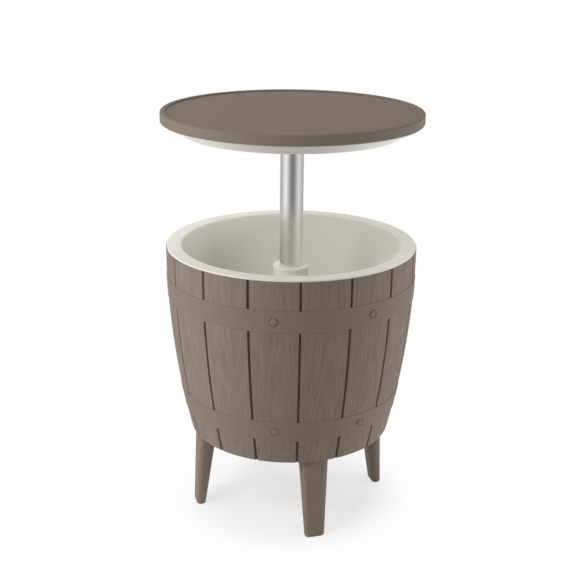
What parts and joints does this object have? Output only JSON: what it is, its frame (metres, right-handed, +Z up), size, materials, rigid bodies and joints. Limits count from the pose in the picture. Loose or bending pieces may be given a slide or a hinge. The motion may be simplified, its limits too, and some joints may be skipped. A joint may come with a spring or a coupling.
{
  "type": "cooler table",
  "caption": "Barrel-shaped drinks cooler on splayed legs, with a white ice bucket and a round table lid on an aluminium pole that rises, turns and clamps.",
  "frame": {"origin": "on the floor, under the axis of the barrel and the pole", "axes": "+Z up along the pole; -Y is the front and +X the right, with the legs on the diagonals"},
  "size_m": [0.5, 0.5, 0.804],
  "materials": {
    "grained_taupe": "satin",
    "smooth_taupe": "satin",
    "table_taupe": "matte",
    "white_plastic": "satin",
    "nylon": "matte",
    "foam": "matte",
    "brushed_aluminium": "satin",
    "steel": "satin",
    "rubber": "matte"
  },
  "bodies": {
    "barrel": {"barrel_shell": "grained_taupe", "ice_liner": "white_plastic", "insulation_jacket": "foam", "insulation_base": "foam", "guide_column": "white_plastic", "column_collar": "white_plastic", "column_screws": "steel", "leg_front_right": "smooth_taupe", "leg_back_right": "smooth_taupe", "leg_back_left": "smooth_taupe", "leg_front_left": "smooth_taupe", "leg_screws": "steel", "drain_fitting": "white_plastic", "drain_gasket": "rubber", "drain_nut": "white_plastic"},
    "guide": {"lift_guide": "nylon"},
    "table": {"table_tray": "table_taupe", "table_underside": "white_plastic", "lid_insulation": "foam", "tray_screws": "steel", "pole_socket": "white_plastic", "socket_bolts": "steel", "socket_screws": "steel", "pole_tube": "brushed_aluminium", "pole_plug": "nylon", "plug_pin": "steel", "guide_washer": "steel", "guide_bolt": "steel"},
    "plug": {"drain_plug": "rubber", "plug_seal": "rubber"}
  },
  "joints": [
    {"name": "table_lift", "type": "slide", "parent": "barrel", "child": "guide", "axis": [0, 0, 1], "range_m": [-0.236, 0]},
    {"name": "table_turn", "type": "hinge", "parent": "guide", "child": "table", "pos_m": [0, 0, 0.42], "axis": [0, 0, 1], "range_deg": [0, 60]},
    {"name": "plug_pull", "type": "slide", "parent": "barrel", "child": "plug", "axis": [0, 0, -1], "range_m": [0, 0.025]}
  ]
}
